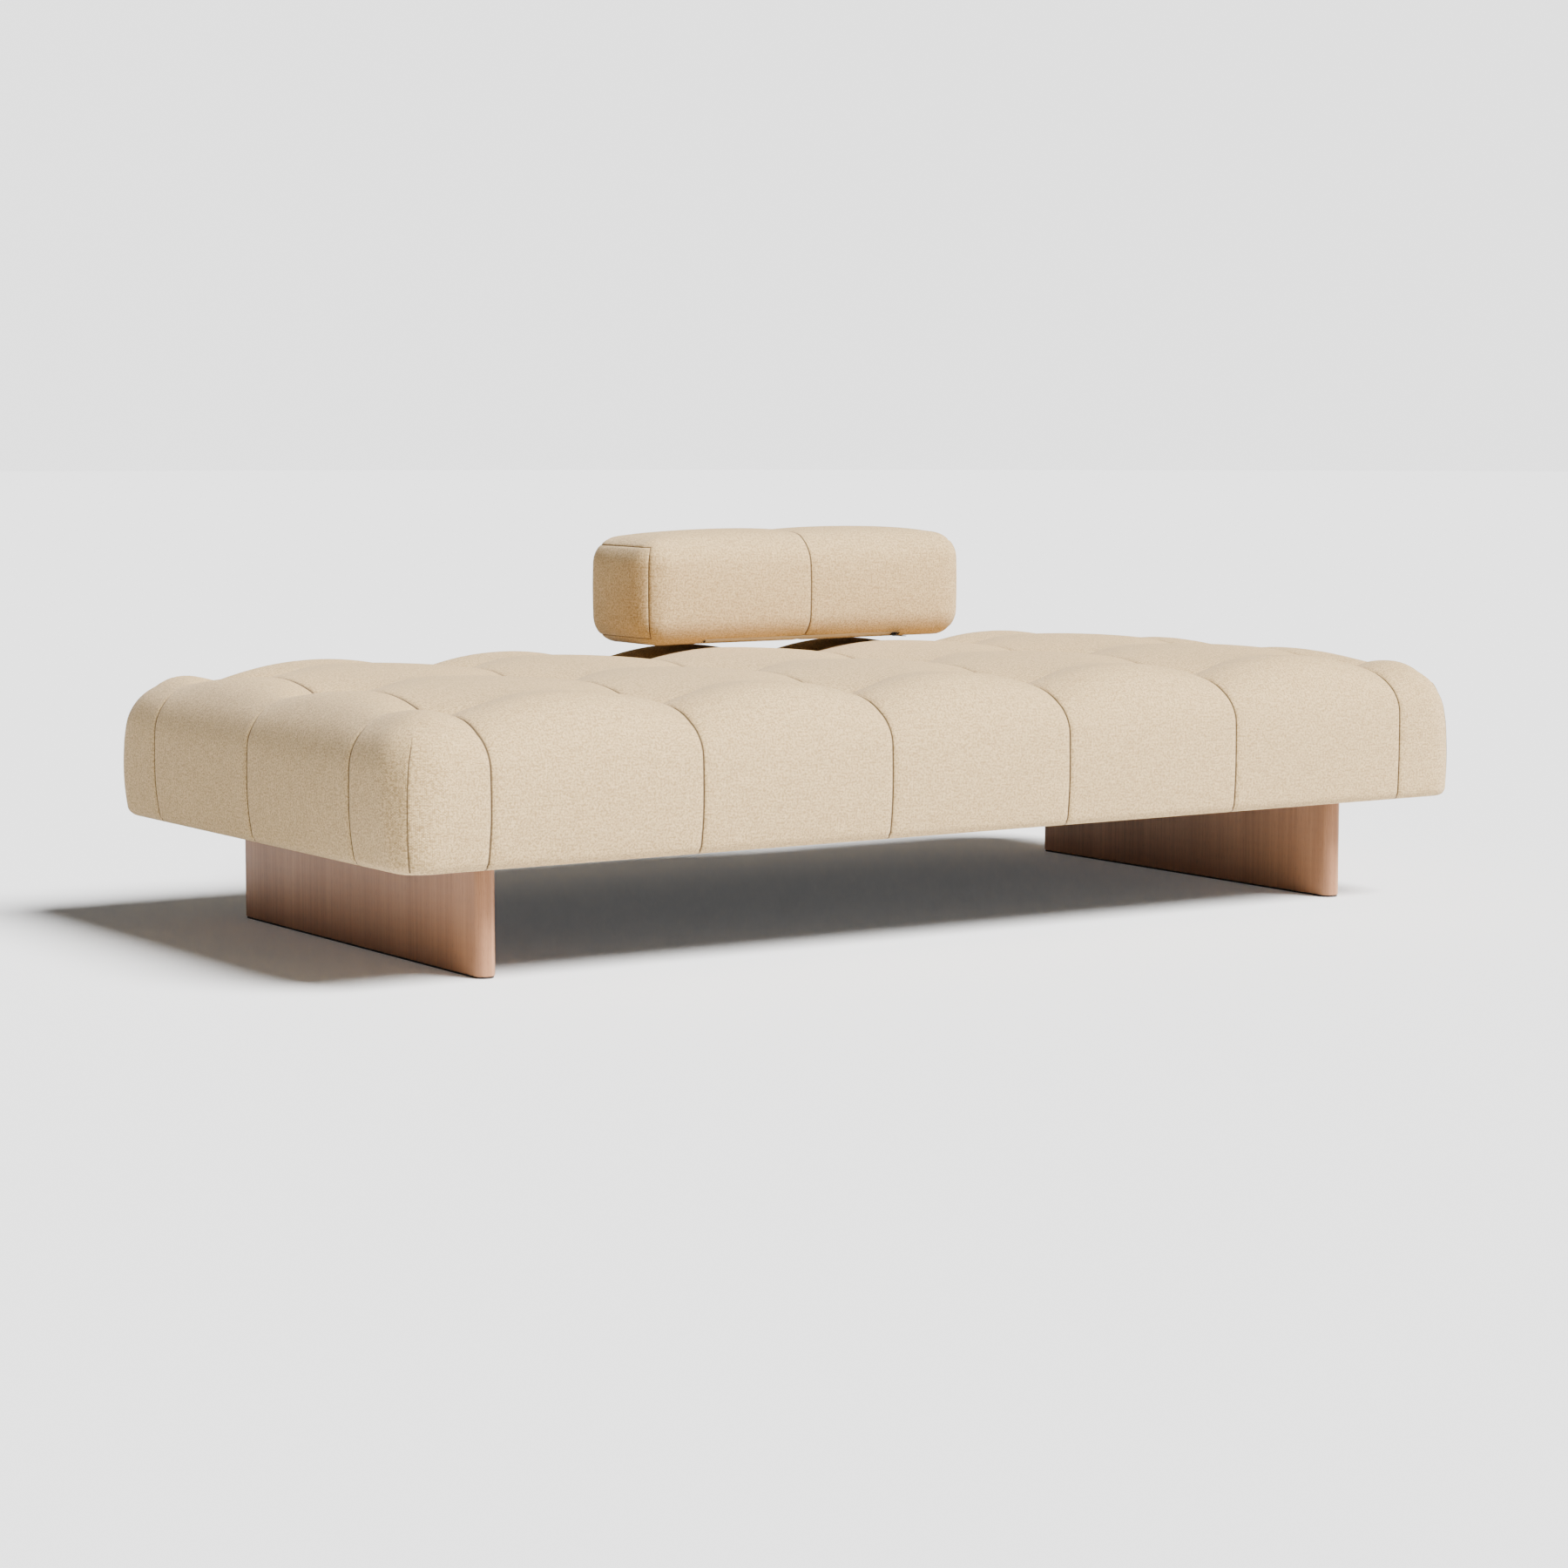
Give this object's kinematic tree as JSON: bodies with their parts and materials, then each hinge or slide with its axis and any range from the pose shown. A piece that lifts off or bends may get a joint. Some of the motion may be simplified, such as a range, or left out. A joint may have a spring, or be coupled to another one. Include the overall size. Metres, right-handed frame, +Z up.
{
  "type": "daybed",
  "caption": "Backless daybed with a puffed, tufted fabric platform on slab legs set in from the ends, and a loose zipped bolster that lifts off.",
  "frame": {"origin": "on the floor, under the middle of the platform", "axes": "+X along the length, +Y from the front to the back where the bolster lies, +Z up"},
  "size_m": [1.9922, 0.9912, 0.601],
  "materials": {
    "cream_weave": "matte melange weave",
    "white_fibre": "lofty polyester fibre",
    "foam": "cut foam",
    "black_cloth": "non-woven dust cloth",
    "pine": "sawn",
    "plywood": "sanded",
    "oak_veneer": "satin lacquer over upright grain",
    "felt": "dense felt",
    "zinc_steel": "zinc plated",
    "brass": "turned",
    "zip_tape_cloth": "woven tape with closed coil teeth",
    "black_metal": "black paint"
  },
  "bodies": {
    "daybed": {"back_rail": "pine", "corner_block_back_left": "pine", "corner_block_back_right": "pine", "corner_block_front_left": "pine", "corner_block_front_right": "pine", "cross_rail_1": "pine", "cross_rail_2": "pine", "cross_rail_3": "pine", "deck_panel": "plywood", "dust_cover": "black_cloth", "fibre_wadding": "white_fibre", "foam_core": "foam", "front_rail": "pine", "left_end_rail": "pine", "left_leg_board": "plywood", "left_leg_glide": "felt", "left_leg_slab": "oak_veneer", "leg_bolt_left_1": "zinc_steel", "leg_bolt_left_2": "zinc_steel", "leg_bolt_left_3": "zinc_steel", "leg_bolt_right_1": "zinc_steel", "leg_bolt_right_2": "zinc_steel", "leg_bolt_right_3": "zinc_steel", "leg_insert_left_1": "brass", "leg_insert_left_2": "brass", "leg_insert_left_3": "brass", "leg_insert_right_1": "brass", "leg_insert_right_2": "brass", "leg_insert_right_3": "brass", "leg_washer_left_1": "zinc_steel", "leg_washer_left_2": "zinc_steel", "leg_washer_left_3": "zinc_steel", "leg_washer_right_1": "zinc_steel", "leg_washer_right_2": "zinc_steel", "leg_washer_right_3": "zinc_steel", "quilted_cover": "cream_weave", "right_end_rail": "pine", "right_leg_board": "plywood", "right_leg_glide": "felt", "right_leg_slab": "oak_veneer"},
    "bolster": {"bolster_cover": "cream_weave", "bolster_core": "white_fibre", "zip_tape": "zip_tape_cloth", "zip_stop_left": "black_metal", "zip_stop_right": "black_metal"},
    "zip_slider": {"zip_slider": "black_metal"},
    "zip_pull": {"zip_pull": "black_metal"}
  },
  "joints": [
    {"name": "bolster_lift", "type": "slide", "parent": "daybed", "child": "bolster", "axis": [0, 0, 1], "range_m": [0, 0.22]},
    {"name": "zip_travel", "type": "slide", "parent": "bolster", "child": "zip_slider", "axis": [1, 0, 0], "range_m": [-0.378, 0]},
    {"name": "pull_swing", "type": "hinge", "parent": "zip_slider", "child": "zip_pull", "pos_m": [0.3565, 0.25137, 0.41827], "axis": [-1, 0, 0], "range_deg": [0, 40]}
  ]
}
